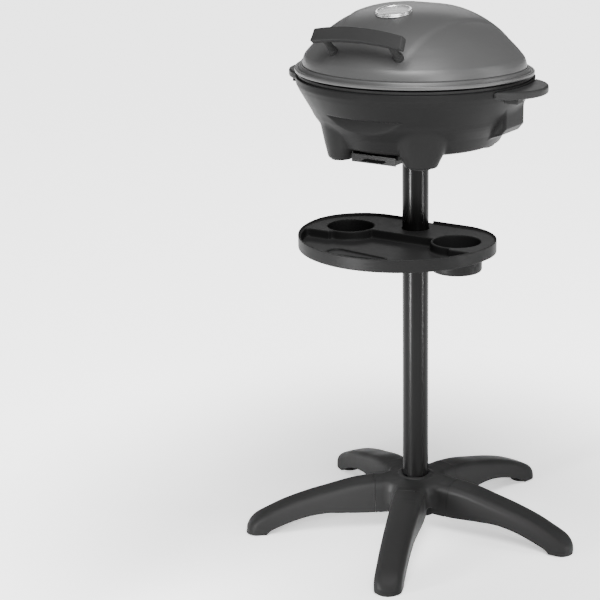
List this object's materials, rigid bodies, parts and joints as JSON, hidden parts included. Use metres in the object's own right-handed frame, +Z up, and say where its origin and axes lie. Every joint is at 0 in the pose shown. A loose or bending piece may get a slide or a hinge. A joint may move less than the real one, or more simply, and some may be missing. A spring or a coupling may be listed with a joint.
{
  "type": "pedestal electric grill with hinged lid",
  "caption": "Round electric grill with a domed hinged lid, side handles and plug-in thermostat, on a tubular post with star base and utensil tray.",
  "frame": {"origin": "on the floor, at the middle of the five-legged base's outline; the post's axis stands a little to the left of it", "axes": "+Z up, -Y to the front where the lid handle is, +X to the right-hand side handle"},
  "size_m": [0.6965, 0.6496, 1.0308],
  "materials": {
    "frame_plastic": "fine moulded grain",
    "tray_plastic": "fine moulded grain",
    "post_gloss": "gloss black",
    "rubber": "matte",
    "steel": "zinc plated",
    "housing_plastic": "satin charcoal",
    "reflector": "bright",
    "element": "heat darkened",
    "plate_coating": "black non-stick",
    "ceramic": "steatite",
    "thermostat_plastic": "satin black",
    "lamp": "translucent",
    "lid_enamel": "satin dark grey metallic",
    "grip_plastic": "satin",
    "chrome": "polished",
    "dial_face": "printed",
    "needle_red": "matte",
    "glass": "clear",
    "cord_pvc": "satin"
  },
  "bodies": {
    "stand": {"base_hub": "frame_plastic", "leg_1": "frame_plastic", "leg_2": "frame_plastic", "leg_3": "frame_plastic", "leg_4": "frame_plastic", "leg_5": "frame_plastic", "foot_pads": "rubber", "leg_screws": "steel", "hub_bolt": "steel", "post_plug": "steel", "lower_post": "post_gloss", "upper_post": "post_gloss", "post_joiner": "steel", "post_cap": "frame_plastic", "utensil_tray": "tray_plastic", "tray_screw": "steel", "cord_tube": "cord_pvc", "cord_coil": "cord_pvc", "cord_coil_tie": "cord_pvc", "cord_post_tie": "cord_pvc", "mains_plug": "cord_pvc", "plug_pins": "chrome"},
    "head": {"lower_housing": "housing_plastic", "left_handle": "housing_plastic", "right_handle": "housing_plastic", "handle_screws": "steel", "housing_foot_pads": "rubber", "post_socket": "housing_plastic", "socket_screws": "steel", "socket_lock_screw": "frame_plastic", "drip_tray_rails": "housing_plastic", "heat_reflector": "reflector", "heating_element": "element", "element_clips": "plate_coating", "cooking_plate": "plate_coating", "thermostat_inlet": "housing_plastic", "terminal_block": "ceramic", "thermostat_body": "thermostat_plastic", "thermostat_probe": "steel", "dial_lamp_ring": "lamp", "cord_strain_relief": "thermostat_plastic", "hinge_bases": "chrome", "hinge_pins": "chrome", "hinge_screws": "steel"},
    "drip_tray": {"drip_tray": "reflector"},
    "dial": {"thermostat_dial": "thermostat_plastic"},
    "lid": {"hinge_leaves": "chrome", "leaf_screws": "steel", "lid_edge": "lid_enamel", "lid_dome": "lid_enamel", "grip_posts": "grip_plastic", "grip_bar": "grip_plastic", "grip_screws": "steel", "gauge_case": "chrome", "gauge_face": "dial_face", "gauge_glass": "glass", "gauge_nut": "steel"},
    "needle": {"gauge_needle": "needle_red"}
  },
  "joints": [
    {"name": "head_lift", "type": "slide", "parent": "stand", "child": "head", "axis": [0, 0, 1], "range_m": [0, 0.06]},
    {"name": "lid_hinge", "type": "hinge", "parent": "head", "child": "lid", "pos_m": [-0.02544, 0.17526, 0.905], "axis": [-1, 0, 0], "range_deg": [0, 95]},
    {"name": "drip_tray_slide", "type": "slide", "parent": "head", "child": "drip_tray", "axis": [0, -1, 0], "range_m": [0, 0.09]},
    {"name": "thermostat_dial_turn", "type": "hinge", "parent": "head", "child": "dial", "pos_m": [-0.26981, 0.11368, 0.884], "axis": [0, 0, 1], "range_deg": [0, 270]},
    {"name": "thermometer_needle_turn", "type": "hinge", "parent": "lid", "child": "needle", "pos_m": [-0.02544, -0.08252, 1.01911], "axis": [0, 0.0698, -0.9976], "range_deg": [0, 250]}
  ]
}
